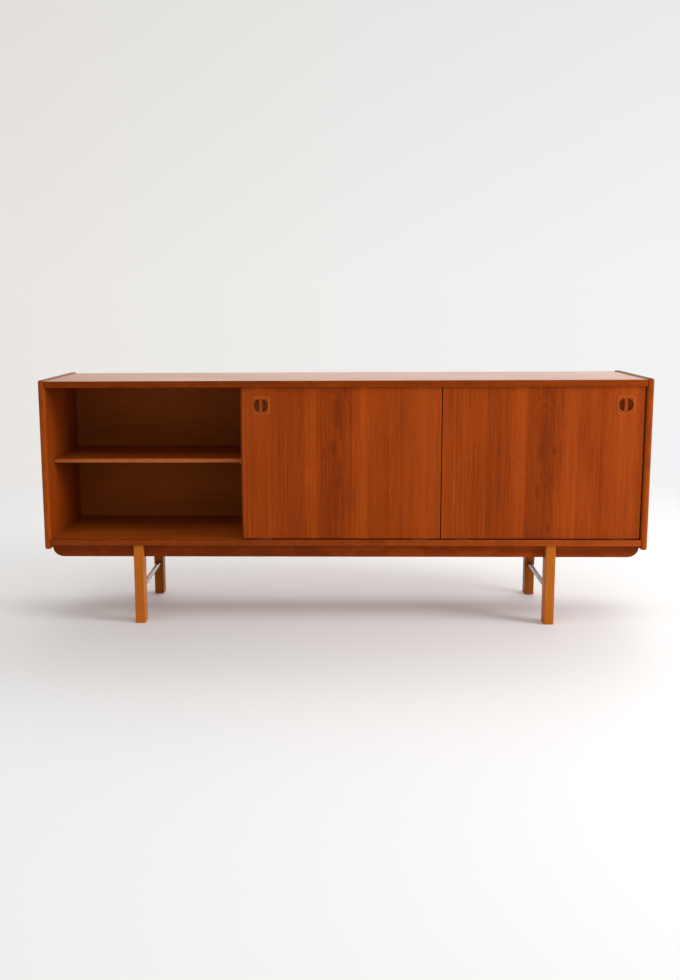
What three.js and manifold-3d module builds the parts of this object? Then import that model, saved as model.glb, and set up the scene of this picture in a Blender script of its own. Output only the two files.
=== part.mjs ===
// Long low teak sideboard on four beech legs: three bays behind two flush sliding doors,
// so that one bay always stands open. Units are millimetres, +Z is up, +X is the right-hand
// end seen from the front, and the front faces -Y. The origin is on the floor, under the
// middle of the cabinet.

import * as THREE from 'three';
import { mergeVertices } from 'three/addons/utils/BufferGeometryUtils.js';
import Module from 'manifold-3d';

const wasm = await Module();
wasm.setup();

// ---------------------------------------------------------------- driving dimensions

// Case
const overallWidth = 1800;
const overallDepth = 410;
const overallHeight = 738;
const undersideHeight = 242;      // floor to the underside of the bottom board
const sideThickness = 20;
const sideRise = 3.5;             // the sides stand this far above the top board
const sideDrop = 12;              // and hang this far below the bottom board
const sideCornerRadius = 8;       // rounding of the sides' upright edges
const sideEndRadius = 6;          // rounding of the sides' top and bottom ends
const topThickness = 19;
const bottomThickness = 18;
const backThickness = 5;
const backRecess = 10;            // back panel's rear face to the sides' back edge
const backRebate = 9;             // how far the back panel reaches into the sides and top
const dividerThickness = 16;
const dividerSetback = 32;        // front plane to the dividers' front edge
const dividerShift = 6;           // dividers stand this far outside the doors' inner edges

// Shelves and their pins
const shelfThickness = 12;
const shelfSetback = 76;          // front plane to the shelves' front edge
const shelfHeight = 483;          // floor to the shelves' underside
const shelfEndGap = 2;            // clears the pins' collars
const shelfBackGap = 2;
const shelfEdgeRadius = 1.5;
const pinFrontInset = 12;         // shelf's front edge to the front pins
const pinBackInset = 40;          // shelf's back edge to the rear pins
const pinDiameter = 5;
const pinCollarDiameter = 8;
const pinCollarThickness = 1.2;
const pinShank = 6.4;             // length inside the wood
const pinPeg = 8;                 // length that carries the shelf

// Sliding doors in one groove
const doorThickness = 16;
const grooveLip = 8;              // wood in front of the groove
const grooveSlack = 1;            // groove width beyond the door's thickness
const topGrooveDepth = 10;
const bottomGrooveDepth = 6;
const doorTopEngagement = 4;      // how far the door stands in the top groove
const doorFloorGap = 2.7;         // bottom board to the door's bottom edge
const doorSideGap = 3.2;          // closed door to the side panel
const doorSeam = 3;               // door to door
const doorOverlap = 2.2;          // how far a door laps over a neighbouring bay
const lippingWidth = 9;           // solid wood on the doors' upright edges
const glideLength = 40;
const glideWidth = 14;
const glideInset = 60;            // door's end to the middle of the glide
const glideLift = 0.3;            // glide above the groove's floor

// Pulls let into the doors
const pullSize = 53;
const pullThickness = 12;
const pullProud = 2;
const pullCornerRadius = 3;
const pullInset = 55;             // door's outer edge to the pull's middle
const pullDrop = 58;              // door's top edge to the pull's middle
const pocketWidth = 15.5;
const pocketHeight = 37;
const pocketDepth = 9;
const pullBar = 11;               // bar left standing between the two pockets

// Underframe
const legWidth = 30;
const legDepth = 46;
const legEdgeRadius = 2.5;
const legInset = 283;             // case's end to the middle of the leg
const legFrontSetback = 5;
const legBackSetback = 4;
const legLap = 17;                // wood left on a leg in front of its apron
const apronThickness = 18;
const apronHeight = 38;
const apronCornerRadius = 28;
const rodDiameter = 16;
const rodHeight = 103;            // floor to the rod's axis
const rodSeat = 12;               // length of rod inside each leg
const screwDiameter = 5;
const screwHeadDiameter = 10;
const screwHeadThickness = 3;
const screwBite = 13;             // length of screw inside the leg
const screwDrops = [11, 27];      // underside of the bottom board to the screws

// Fits
const fit = 0.3;                  // gap left between pieces that touch
const roundSides = 12;            // facets of a round hole, pin or rod

// ---------------------------------------------------------------- derived sizes

const innerHalf = overallWidth / 2 - sideThickness;
const floorTop = undersideHeight + bottomThickness;
const topSurface = overallHeight - sideRise;
const topUnderside = topSurface - topThickness;
const backRear = overallDepth - backRecess;
const backFront = backRear - backThickness;
const grooveWidth = doorThickness + grooveSlack;
const doorFront = grooveLip + grooveSlack / 2;
const doorWidth = (2 * innerHalf - 2 * doorSideGap + 2 * doorOverlap) / 3;
const doorBottom = floorTop + doorFloorGap;
const glideHeight = doorFloorGap - fit + bottomGrooveDepth - glideLift;
const doorTop = topUnderside + doorTopEngagement;
const dividerMiddle = innerHalf - doorSideGap - doorWidth + dividerShift;
const legMiddle = overallWidth / 2 - legInset;
const legTop = undersideHeight - fit;
const frontApronFront = legFrontSetback + legLap;
const rearLegFront = overallDepth - legBackSetback - legDepth;
const rearApronFront = rearLegFront + legDepth - legLap - apronThickness;
const frontPinY = shelfSetback + pinFrontInset;
const rearPinY = backFront - shelfBackGap - pinBackInset;
const pinZ = shelfHeight - fit - pinDiameter / 2;

// ---------------------------------------------------------------- finishes

function finish(colour, roughness, metalness) {
  return new THREE.MeshStandardMaterial({ color: colour, roughness, metalness });
}

const teak = () => finish(0x8e3a12, 0.42, 0);
const teakTop = () => finish(0xa8643a, 0.35, 0);
const teakSolid = () => finish(0xa5481a, 0.45, 0);
const teakInside = () => finish(0x7a3410, 0.55, 0);
const plywood = () => finish(0x8a5224, 0.6, 0);
const beech = () => finish(0xb0682c, 0.45, 0);
const steel = () => finish(0xc6c2be, 0.28, 1);
const nylon = () => finish(0xe8e2d2, 0.5, 0);

// ---------------------------------------------------------------- shapes

// A box from its three spans.
function boxGeometry([x0, x1], [y0, y1], [z0, z1]) {
  const geometry = new THREE.BoxGeometry(x1 - x0, y1 - y0, z1 - z0);
  return geometry.translate((x0 + x1) / 2, (y0 + y1) / 2, (z0 + z1) / 2);
}

function roundedRectangle(width, height, radius) {
  const shape = new THREE.Shape();
  const x = width / 2;
  const y = height / 2;
  shape.moveTo(-x + radius, -y);
  shape.lineTo(x - radius, -y);
  shape.absarc(x - radius, -y + radius, radius, -Math.PI / 2, 0, false);
  shape.lineTo(x, y - radius);
  shape.absarc(x - radius, y - radius, radius, 0, Math.PI / 2, false);
  shape.lineTo(-x + radius, y);
  shape.absarc(-x + radius, y - radius, radius, Math.PI / 2, Math.PI, false);
  shape.lineTo(-x, -y + radius);
  shape.absarc(-x + radius, -y + radius, radius, Math.PI, 1.5 * Math.PI, false);
  return shape;
}

// An upright bar, middle of its base at the origin, with rounded corners and rounded ends.
function barGeometry(width, depth, height, cornerRadius, endRadius) {
  return new THREE.ExtrudeGeometry(roundedRectangle(width, depth, cornerRadius), {
    depth: height - 2 * endRadius,
    curveSegments: 2,
    bevelEnabled: endRadius > 0,
    bevelThickness: endRadius,
    bevelSize: endRadius,
    bevelOffset: -endRadius,
    bevelSegments: 2,
  }).translate(0, 0, endRadius);
}

// A cylinder along +Y or +X that starts at the given point.
function cylinderAlongY(diameter, length, [x, y, z]) {
  const geometry = new THREE.CylinderGeometry(diameter / 2, diameter / 2, length, roundSides);
  return geometry.translate(x, y + length / 2, z);
}

function cylinderAlongX(diameter, length, [x, y, z]) {
  const geometry = new THREE.CylinderGeometry(diameter / 2, diameter / 2, length, roundSides);
  return geometry.rotateZ(-Math.PI / 2).translate(x + length / 2, y, z);
}

function toSolid(geometry) {
  const bare = geometry.clone();
  bare.deleteAttribute('normal');
  bare.deleteAttribute('uv');
  const merged = mergeVertices(bare, 1e-4);
  return new wasm.Manifold(new wasm.Mesh({
    numProp: 3,
    vertProperties: merged.attributes.position.array,
    triVerts: new Uint32Array(merged.index.array),
  }));
}

// The geometry with every cutter taken out of it.
function cut(geometry, cutters) {
  let solid = toSolid(geometry);
  for (const cutter of cutters) {
    solid = solid.subtract(toSolid(cutter));
  }
  const mesh = solid.getMesh();
  const result = new THREE.BufferGeometry();
  result.setAttribute('position', new THREE.BufferAttribute(mesh.vertProperties, 3));
  result.setIndex(new THREE.BufferAttribute(mesh.triVerts, 1));
  result.computeVertexNormals();
  return result;
}

function piece(name, geometry, material, x = 0, y = 0, z = 0) {
  const mesh = new THREE.Mesh(geometry, material);
  mesh.name = name;
  mesh.position.set(x, y, z);
  return mesh;
}

// ---------------------------------------------------------------- case

// Holes for a shelf's front and rear pins, drilled along X from the face at x.
function pinHoles(x, direction, y, z) {
  const depth = pinShank + fit;
  const start = direction > 0 ? x : x - depth;
  return [frontPinY, rearPinY].map(
    (pinY) => cylinderAlongX(pinDiameter + 2 * fit, depth, [start, pinY - y, pinZ - z]),
  );
}

// One end of the case: it stands proud of the top board, hangs below the bottom board, and
// is rebated for the back panel. sign is -1 for the left end and +1 for the right end.
function makeSidePanel(name, sign) {
  const bottom = undersideHeight - sideDrop;
  const height = overallHeight - bottom;
  const middle = sign * (innerHalf + sideThickness / 2);
  const board = barGeometry(sideThickness, overallDepth, height, sideCornerRadius, sideEndRadius);
  const innerFace = -sign * sideThickness / 2;
  const rebateFront = backFront - fit - overallDepth / 2;
  const rebateX = [innerFace, innerFace + sign * (backRebate + fit)].sort((a, b) => a - b);
  const rebate = boxGeometry(
    rebateX,
    [rebateFront, overallDepth / 2 + 1],
    [sideDrop - fit, height - sideRise - topThickness + backRebate + fit],
  );
  const holes = pinHoles(innerFace, sign, overallDepth / 2, bottom);
  const geometry = cut(board, [rebate, ...holes]);
  return piece(name, geometry, teak(), middle, overallDepth / 2, bottom);
}

// Top board, with the door groove and the rebate for the back panel in its underside.
function makeTopBoard() {
  const half = innerHalf - fit;
  const board = boxGeometry([-half, half], [0, overallDepth], [0, topThickness]);
  const groove = boxGeometry(
    [-half - 1, half + 1],
    [grooveLip, grooveLip + grooveWidth],
    [-1, topGrooveDepth],
  );
  const rebate = boxGeometry(
    [-half - 1, half + 1],
    [backFront - fit, overallDepth + 1],
    [-1, backRebate + fit],
  );
  return piece('top_board', cut(board, [groove, rebate]), teakTop(), 0, 0, topUnderside);
}

// Bottom board, with the door groove in its upper face. The back panel covers its rear edge.
function makeBottomBoard() {
  const half = innerHalf - fit;
  const board = boxGeometry([-half, half], [0, backFront - fit], [0, bottomThickness]);
  const groove = boxGeometry(
    [-half - 1, half + 1],
    [grooveLip, grooveLip + grooveWidth],
    [bottomThickness - bottomGrooveDepth, bottomThickness + 1],
  );
  return piece('bottom_board', cut(board, [groove]), teakInside(), 0, 0, undersideHeight);
}

function makeBackPanel() {
  const half = innerHalf + backRebate;
  const height = topUnderside + backRebate - undersideHeight;
  const geometry = boxGeometry([-half, half], [0, backThickness], [0, height]);
  return piece('back_panel', geometry, plywood(), 0, backFront, undersideHeight);
}

function makeDivider(name, sign) {
  const height = topUnderside - floorTop - 2 * fit;
  const z = floorTop + fit;
  const board = boxGeometry(
    [-dividerThickness / 2, dividerThickness / 2],
    [0, backFront - fit - dividerSetback],
    [0, height],
  );
  const holes = [
    ...pinHoles(-dividerThickness / 2, 1, dividerSetback, z),
    ...pinHoles(dividerThickness / 2, -1, dividerSetback, z),
  ];
  return piece(name, cut(board, holes), teakInside(), sign * dividerMiddle, dividerSetback, z);
}

// ---------------------------------------------------------------- shelves

const middleBayHalf = dividerMiddle - dividerThickness / 2;
const bays = [
  { name: 'left', from: -innerHalf, to: -dividerMiddle - dividerThickness / 2 },
  { name: 'middle', from: -middleBayHalf, to: middleBayHalf },
  { name: 'right', from: dividerMiddle + dividerThickness / 2, to: innerHalf },
];

function makeShelf(bay) {
  const width = bay.to - bay.from - 2 * shelfEndGap;
  const depth = backFront - shelfBackGap - shelfSetback;
  const board = barGeometry(width, shelfThickness, depth, shelfEdgeRadius, 0);
  board.rotateX(-Math.PI / 2);
  const middle = (bay.from + bay.to) / 2;
  const z = shelfHeight + shelfThickness / 2;
  return piece(`${bay.name}_shelf`, board, teakInside(), middle, shelfSetback, z);
}

// A turned pin along X: shank in the wood, collar against the face, peg under the shelf.
function pinGeometry(direction) {
  const shank = pinDiameter / 2;
  const collar = pinCollarDiameter / 2;
  const profile = [
    [0, -pinShank],
    [shank, -pinShank],
    [shank, fit],
    [collar, fit],
    [collar, fit + pinCollarThickness],
    [shank, fit + pinCollarThickness],
    [shank, fit + pinPeg],
    [0, fit + pinPeg],
  ].map(([r, along]) => new THREE.Vector2(r, along));
  const geometry = new THREE.LatheGeometry(profile, roundSides);
  return geometry.rotateZ(-direction * Math.PI / 2);
}

function makeShelfPins(bay) {
  const ends = [
    { end: 'left', x: bay.from, direction: 1 },
    { end: 'right', x: bay.to, direction: -1 },
  ];
  const rows = [
    { row: 'front', y: frontPinY },
    { row: 'rear', y: rearPinY },
  ];
  const pins = [];
  for (const { end, x, direction } of ends) {
    for (const { row, y } of rows) {
      const name = `${bay.name}_shelf_${row}_${end}_pin`;
      pins.push(piece(name, pinGeometry(direction), steel(), x, y, pinZ));
    }
  }
  return pins;
}

// ---------------------------------------------------------------- doors

// Half-moon outline of a finger pocket, its straight side on x = 0 and its bow towards sign.
function pocketShape(sign) {
  const radius = (pocketHeight ** 2 / 4 + pocketWidth ** 2) / (2 * pocketWidth);
  const swing = Math.asin(pocketHeight / 2 / radius);
  const bend = pocketWidth > radius ? Math.PI - swing : swing;
  const facets = 12;
  const shape = new THREE.Shape();
  for (let i = 0; i <= facets; i += 1) {
    const angle = -bend + (2 * bend * i) / facets;
    const x = sign * (pocketWidth - radius + radius * Math.cos(angle));
    const y = radius * Math.sin(angle);
    if (i === 0) shape.moveTo(x, y);
    else shape.lineTo(x, y);
  }
  shape.closePath();
  return shape;
}

// Square pull block with two finger pockets either side of an upright bar.
// Its front face is at y = 0 and its middle at x = z = 0.
function makePull(name) {
  const block = barGeometry(pullSize, pullSize, pullThickness, pullCornerRadius, 1.5);
  block.rotateX(Math.PI / 2).translate(0, pullThickness, 0);
  const pockets = [-1, 1].map((sign) => {
    const depth = pocketDepth + 1;
    const pocket = new THREE.ExtrudeGeometry(pocketShape(sign), { depth, bevelEnabled: false });
    return pocket.rotateX(Math.PI / 2).translate(sign * pullBar / 2, pocketDepth, 0);
  });
  return piece(name, cut(block, pockets), teakSolid(), 0, -pullProud, 0);
}

// A door: veneered panel, a solid lipping on each upright edge, a pull near its outer top
// corner and two glides under it. Its group stands at the door's lower left front corner.
function makeDoor(name, left, pullX) {
  const group = new THREE.Group();
  group.position.set(left, doorFront, doorBottom);
  const height = doorTop - doorBottom;
  const panel = boxGeometry(
    [lippingWidth + fit, doorWidth - lippingWidth - fit],
    [0, doorThickness],
    [0, height],
  );
  const pullZ = height - pullDrop;
  const mortise = boxGeometry(
    [pullX - pullSize / 2 - fit, pullX + pullSize / 2 + fit],
    [-1, pullThickness - pullProud + fit],
    [pullZ - pullSize / 2 - fit, pullZ + pullSize / 2 + fit],
  );
  const glideXs = [glideInset, doorWidth - glideInset];
  const glideY = doorThickness / 2;
  group.add(piece(`${name}_panel`, cut(panel, [mortise]), teak()));

  const lipping = (end, x) => {
    const geometry = barGeometry(lippingWidth, doorThickness, height, 1.2, 0);
    group.add(piece(`${name}_${end}_lipping`, geometry, teakSolid(), x, doorThickness / 2, 0));
  };
  lipping('left', lippingWidth / 2);
  lipping('right', doorWidth - lippingWidth / 2);

  const pull = makePull(`${name}_pull`);
  pull.position.x = pullX;
  pull.position.z = pullZ;
  group.add(pull);

  ['left', 'right'].forEach((end, i) => {
    const glide = barGeometry(glideLength, glideWidth, glideHeight, 2, 0);
    const glideZ = -fit - glideHeight;
    group.add(piece(`${name}_${end}_glide`, glide, nylon(), glideXs[i], glideY, glideZ));
  });
  return group;
}

// ---------------------------------------------------------------- underframe

// Screw holes along Y through an apron or into a leg, at the given heights.
function screwHoles(x, y, length, base) {
  return screwDrops.map((drop) => cylinderAlongY(
    screwDiameter + 2 * fit, length, [x, y, undersideHeight - drop - base],
  ));
}

// Rail under the bottom board, its lower corners rounded up to the sides.
function makeApron(name, y) {
  const half = innerHalf - fit;
  const shape = new THREE.Shape();
  const height = apronHeight - fit;
  const radius = Math.min(apronCornerRadius, height);
  shape.moveTo(-half + radius, 0);
  shape.lineTo(half - radius, 0);
  shape.absarc(half - radius, radius, radius, -Math.PI / 2, 0, false);
  shape.lineTo(half, height);
  shape.lineTo(-half, height);
  shape.lineTo(-half, radius);
  shape.absarc(-half + radius, radius, radius, Math.PI, 1.5 * Math.PI, false);
  const board = new THREE.ExtrudeGeometry(shape, {
    depth: apronThickness,
    curveSegments: 8,
    bevelEnabled: false,
  });
  board.rotateX(Math.PI / 2).translate(0, apronThickness, 0);
  const base = undersideHeight - apronHeight;
  const holes = [-legMiddle, legMiddle].flatMap(
    (x) => screwHoles(x, -1, apronThickness + 2, base),
  );
  return piece(name, cut(board, holes), teak(), 0, y, base);
}

// A leg whose inner side, towards its apron and rod, looks along facing: +1 is to the back.
// Its top is lapped, so that the apron stands on a shoulder behind the wood that is left.
function makeLeg(name, x, y, facing) {
  const bar = barGeometry(legWidth, legDepth, legTop, legEdgeRadius, 1);
  const innerFace = facing * legDepth / 2;
  const lapFace = facing * (legLap - fit - legDepth / 2);
  const lap = boxGeometry(
    [-legWidth / 2 - 1, legWidth / 2 + 1],
    [lapFace, innerFace + facing].sort((a, b) => a - b),
    [undersideHeight - apronHeight - fit, legTop + 1],
  );
  const holeStart = (face, depth) => (facing > 0 ? face - depth : face - 1);
  const rodHole = cylinderAlongY(
    rodDiameter + 2 * fit, rodSeat + fit + 1, [0, holeStart(innerFace, rodSeat + fit), rodHeight],
  );
  const bite = screwBite + fit;
  const holes = screwHoles(0, holeStart(lapFace, bite), bite + 1, 0);
  return piece(name, cut(bar, [lap, rodHole, ...holes]), beech(), x, y, 0);
}

function makeRod(name, x) {
  const start = legFrontSetback + legDepth - rodSeat;
  const length = rearLegFront + rodSeat - start;
  const profile = [
    [0, 0],
    [rodDiameter / 2 - 0.8, 0],
    [rodDiameter / 2, 0.8],
    [rodDiameter / 2, length - 0.8],
    [rodDiameter / 2 - 0.8, length],
    [0, length],
  ].map(([r, along]) => new THREE.Vector2(r, along));
  return piece(name, new THREE.LatheGeometry(profile, roundSides), steel(), x, start, rodHeight);
}

// Round-headed screw along Y: the shank runs from the head towards direction.
function screwGeometry(direction) {
  const shank = screwDiameter / 2;
  const head = screwHeadDiameter / 2;
  const length = apronThickness + 2 * fit + screwBite;
  const profile = [
    [0, -screwHeadThickness],
    [head * 0.6, -screwHeadThickness],
    [head, -screwHeadThickness * 0.35],
    [head, 0],
    [shank, 0],
    [shank, length - shank],
    [0, length],
  ].map(([r, along]) => new THREE.Vector2(r, along));
  const geometry = new THREE.LatheGeometry(profile, roundSides);
  return direction > 0 ? geometry : geometry.rotateX(Math.PI);
}

function makeLegScrews(legName, x, headFace, direction) {
  return screwDrops.map((drop, i) => {
    const place = i === 0 ? 'upper' : 'lower';
    const z = undersideHeight - drop;
    const y = headFace - direction * fit;
    return piece(`${legName}_${place}_screw`, screwGeometry(direction), steel(), x, y, z);
  });
}

// ---------------------------------------------------------------- assembly

const sideboard = new THREE.Group();
const frontPlane = new THREE.Group();          // y = 0 here is the cabinet's front
frontPlane.position.y = -overallDepth / 2;
sideboard.add(frontPlane);

const caseGroup = new THREE.Group();
caseGroup.add(makeSidePanel('left_side_panel', -1));
caseGroup.add(makeSidePanel('right_side_panel', 1));
caseGroup.add(makeTopBoard());
caseGroup.add(makeBottomBoard());
caseGroup.add(makeBackPanel());
caseGroup.add(makeDivider('left_divider', -1));
caseGroup.add(makeDivider('right_divider', 1));
for (const bay of bays) {
  caseGroup.add(makeShelf(bay));
  caseGroup.add(...makeShelfPins(bay));
}
frontPlane.add(caseGroup);

const rightDoorLeft = innerHalf - doorSideGap - doorWidth;
const leftDoorLeft = rightDoorLeft - doorSeam - doorWidth;
frontPlane.add(makeDoor('left_door', leftDoorLeft, pullInset));
frontPlane.add(makeDoor('right_door', rightDoorLeft, doorWidth - pullInset));

const underframe = new THREE.Group();
underframe.add(makeApron('front_apron', frontApronFront));
underframe.add(makeApron('rear_apron', rearApronFront));
for (const [side, x] of [['left', -legMiddle], ['right', legMiddle]]) {
  const front = `front_${side}_leg`;
  const rear = `rear_${side}_leg`;
  underframe.add(makeLeg(front, x, legFrontSetback + legDepth / 2, 1));
  underframe.add(makeLeg(rear, x, rearLegFront + legDepth / 2, -1));
  underframe.add(makeRod(`${side}_cross_rod`, x));
  underframe.add(...makeLegScrews(front, x, frontApronFront + apronThickness, -1));
  underframe.add(...makeLegScrews(rear, x, rearApronFront, 1));
}
frontPlane.add(underframe);

export default sideboard;
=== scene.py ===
"""A long low teak sideboard on beech legs, with two flush sliding doors in front of three bays.

Everything is in metres, +Z up, with the front facing -Y. Places and overall sizes come from the frame.
"""

import math

import bmesh
import bpy
from bpy.props import FloatProperty, FloatVectorProperty, IntProperty, PointerProperty
from bpy.types import Operator, Panel, PropertyGroup
from mathutils import Matrix, Vector


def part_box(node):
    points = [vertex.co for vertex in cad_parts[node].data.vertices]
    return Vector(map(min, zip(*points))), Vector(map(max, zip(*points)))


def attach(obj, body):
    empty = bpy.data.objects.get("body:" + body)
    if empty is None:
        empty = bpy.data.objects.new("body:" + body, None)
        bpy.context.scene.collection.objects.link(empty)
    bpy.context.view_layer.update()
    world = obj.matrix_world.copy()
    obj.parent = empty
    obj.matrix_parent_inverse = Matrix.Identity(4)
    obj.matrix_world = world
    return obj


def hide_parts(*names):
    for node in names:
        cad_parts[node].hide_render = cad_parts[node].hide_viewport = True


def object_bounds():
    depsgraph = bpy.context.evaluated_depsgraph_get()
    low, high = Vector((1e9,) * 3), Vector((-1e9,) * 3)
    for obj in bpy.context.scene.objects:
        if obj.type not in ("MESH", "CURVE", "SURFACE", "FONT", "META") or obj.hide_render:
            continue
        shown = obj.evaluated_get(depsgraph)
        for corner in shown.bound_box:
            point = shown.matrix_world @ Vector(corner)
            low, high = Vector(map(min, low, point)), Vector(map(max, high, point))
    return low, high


bl_info = {
    "name": "Teak sideboard",
    "version": (1, 0, 0),
    "blender": (4, 5, 0),
    "location": "3D View > Sidebar > Sideboard",
    "description": "Builds the wood, pulls, legs and metal of a sliding-door sideboard round its frame",
    "category": "Object",
}

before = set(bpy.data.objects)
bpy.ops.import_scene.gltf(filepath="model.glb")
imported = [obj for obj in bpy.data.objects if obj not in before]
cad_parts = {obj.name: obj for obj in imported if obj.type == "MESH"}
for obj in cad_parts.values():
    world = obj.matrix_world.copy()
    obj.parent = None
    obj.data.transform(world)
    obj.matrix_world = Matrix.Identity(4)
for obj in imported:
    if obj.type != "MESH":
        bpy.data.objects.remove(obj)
CAD_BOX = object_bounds()

X, Y, Z = 0, 1, 2
MM = 0.001
SIDES = ("left", "right")
ENDS = ("front", "rear")
BAYS = ("left", "middle", "right")
DOORS = ("left_door", "right_door")

HAIR = 1e-6                 # two places closer than this are the same place
JOINT_GAP = 0.3 * MM        # between pieces that touch in the case
SNUG_GAP = 0.15 * MM        # round a pull in its mortise
GROOVE_PLAY = 0.5 * MM      # before and behind a door in its grooves
GROOVE_DEPTH = 6 * MM       # past the door at the top, and under the floor at the bottom
BACK_TACK_PITCH = 0.148     # between the tacks along the bottom board


# ------------------------------------------------------------------ settings

def length(name, text, metres, most=0.1):
    return FloatProperty(name=name, description=text, default=metres, min=0, max=most,
                         unit="LENGTH", subtype="DISTANCE", precision=4)


def colour(name, text, value):
    return FloatVectorProperty(name=name, description=text, default=value, size=3, min=0, max=1,
                               subtype="COLOR")


class SideboardSizes(PropertyGroup):
    side_corner: length("Side corner", "Rounding of the side panels' upright edges", 8 * MM)
    side_end: length("Side end", "Rounding of the side panels' top and bottom ends", 6 * MM)
    board_edge: length("Board edge", "Rounding of the boards' solid front edges", 1.2 * MM)
    strip_depth: length("Strip depth", "Depth of the dividers' and shelves' solid edges", 8 * MM)
    arris: length("Arris", "Softening of cut wooden edges", 0.5 * MM)
    apron_corner: length("Apron corner", "Rounding of the aprons' lower corners", 28 * MM)
    leg_edge: length("Leg edge", "Rounding of the legs' long edges", 2.5 * MM)
    foot_edge: length("Foot edge", "Rounding round each foot", 1.2 * MM)
    pull_corner: length("Pull corner", "Rounding of the pull block's corners", 3.5 * MM)
    pull_rim: length("Pull rim", "Rounding of the pull block's front edge", 2.2 * MM)
    pocket_depth: length("Pocket depth", "Depth of the pull's finger pockets", 8.5 * MM)
    pull_cells: IntProperty(name="Pull cells", description="Cells across a pull's carved face",
                            default=112, min=24, max=200)


class SideboardColours(PropertyGroup):
    teak_dark: colour("Teak dark", "Late wood of the teak", (0.215, 0.0260, 0.0013))
    teak_mid: colour("Teak", "Body colour of the teak", (0.303, 0.0415, 0.0022))
    teak_light: colour("Teak light", "Early wood of the teak", (0.388, 0.0590, 0.0045))
    side_mid: colour("Side teak", "Body colour of the side panels", (0.300, 0.0500, 0.0036))
    solid_mid: colour("Solid teak", "Body colour of the solid edges", (0.315, 0.0480, 0.0036))
    # Painted light: the top's body colour is paler and less saturated than the other teak, standing in
    # for how washed out the brightly lit top looks.
    top_mid: colour("Top teak", "Body colour of the sun-faded top", (0.350, 0.100, 0.010))
    inside_mid: colour("Inside teak", "Body colour of the teak inside the case",
                       (0.315, 0.0640, 0.0066))
    shelf_edge: colour("Shelf edge", "Pale solid edges of the shelves", (0.42, 0.105, 0.026))
    ply_mid: colour("Plywood", "Body colour of the stained plywood back", (0.300, 0.0710, 0.0105))
    beech_mid: colour("Beech", "Body colour of the legs", (0.500, 0.135, 0.016))
    steel: colour("Steel", "Rods, pins and screws", (0.26, 0.20, 0.16))
    # Painted shade: the glides are near black so that the gap under the doors reads as a dark shadow
    # line.
    nylon: colour("Nylon", "Glides under the doors", (0.045, 0.028, 0.018))
    floor: colour("Floor", "Pale studio floor", (0.80, 0.80, 0.795))
    room_left: colour("Room left", "Warm side of the pale surround", (0.800, 0.765, 0.725))
    room_middle: colour("Room middle", "Middle of the pale surround", (0.850, 0.845, 0.830))
    room_right: colour("Room right", "Cool side of the pale surround", (0.900, 0.905, 0.920))


class SideboardStage(PropertyGroup):
    focal_length: FloatProperty(name="Focal length", description="Camera lens", default=40.75,
                                min=10, max=200, unit="CAMERA")
    glow: FloatProperty(name="Glow", description="Extra light of the surround behind on the right",
                        default=0.9, min=0, max=5)
    window_power: FloatProperty(name="Window power", description="Power of the soft light on the right",
                                default=92, min=0, max=2000, unit="POWER")
    ceiling_power: FloatProperty(name="Ceiling power", description="Power of the soft light overhead",
                                 default=19, min=0, max=2000, unit="POWER")
    rear_power: FloatProperty(name="Rear power", description="Power of the soft light behind",
                              default=34, min=0, max=2000, unit="POWER")


def sizes():
    return bpy.context.scene.sideboard_sizes


def colours():
    return bpy.context.scene.sideboard_colours


# ------------------------------------------------------------------ mesh helpers

def slab(low, high):
    """A box from its lowest to its highest corner."""
    bm = bmesh.new()
    low, high = Vector(low), Vector(high)
    bmesh.ops.create_cube(bm, size=1)
    bmesh.ops.scale(bm, vec=high - low, verts=bm.verts)
    bmesh.ops.translate(bm, vec=(low + high) / 2, verts=bm.verts)
    return bm


def pulled_out(bm, faces, axis, place):
    """Extrudes faces and takes the new ones to a place along the axis. Their edges go along, so that
    no old face is left inside a solid."""
    edges = [edge for edge in bm.edges if any(face in faces for face in edge.link_faces)]
    for item in bmesh.ops.extrude_face_region(bm, geom=faces + edges)["geom"]:
        if isinstance(item, bmesh.types.BMVert):
            item.co[axis] = place


def prism(outline, axis, start, end):
    """A flat outline carried along an axis. Its points give the other two coordinates in XYZ order."""
    bm = bmesh.new()
    corners = []
    for u, v in outline:
        place = [u, v]
        place.insert(axis, start)
        corners.append(bm.verts.new(place))
    pulled_out(bm, [bm.faces.new(corners)], axis, end)
    bmesh.ops.recalc_face_normals(bm, faces=bm.faces)
    return bm


def stepped_board(axis, lines_u, lines_v, base, far, near, raised):
    """A board built from a grid across the axis: all of it reaches from base to far, and only the
    cells whose middle passes the test reach on from base to near, which leaves the others sunk."""
    axis_u, axis_v = [a for a in (X, Y, Z) if a != axis]
    bm = bmesh.new()
    cells_u, cells_v = len(lines_u) - 1, len(lines_v) - 1
    bmesh.ops.create_grid(bm, x_segments=cells_u, y_segments=cells_v, size=1)
    for vert in bm.verts:
        column = round((vert.co.x + 1) / 2 * cells_u)
        row = round((vert.co.y + 1) / 2 * cells_v)
        place = Vector((0, 0, 0))
        place[axis_u], place[axis_v], place[axis] = lines_u[column], lines_v[row], base
        vert.co = place
    pulled_out(bm, list(bm.faces), axis, far)
    stepped = []
    for face in bm.faces:
        middle = face.calc_center_median()
        flat = all(abs(vert.co[axis] - base) < HAIR for vert in face.verts)
        if flat and raised(middle[axis_u], middle[axis_v]):
            stepped.append(face)
    pulled_out(bm, stepped, axis, near)
    bmesh.ops.recalc_face_normals(bm, faces=bm.faces)
    return bm


def soften(bm, radius, segments=3, test=None):
    """Rounds the sharp edges that pass the test. The rounded faces are shaded smooth."""
    sharp = [
        edge for edge in bm.edges
        if edge.is_manifold and edge.calc_face_angle(0) > 0.6
        and (test is None or test(*(vert.co for vert in edge.verts)))
    ]
    made = bmesh.ops.bevel(bm, geom=sharp, offset=radius, offset_type="OFFSET", segments=segments,
                           profile=0.5, affect="EDGES", clamp_overlap=True, material=-1)
    for face in made["faces"]:
        face.smooth = True


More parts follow.
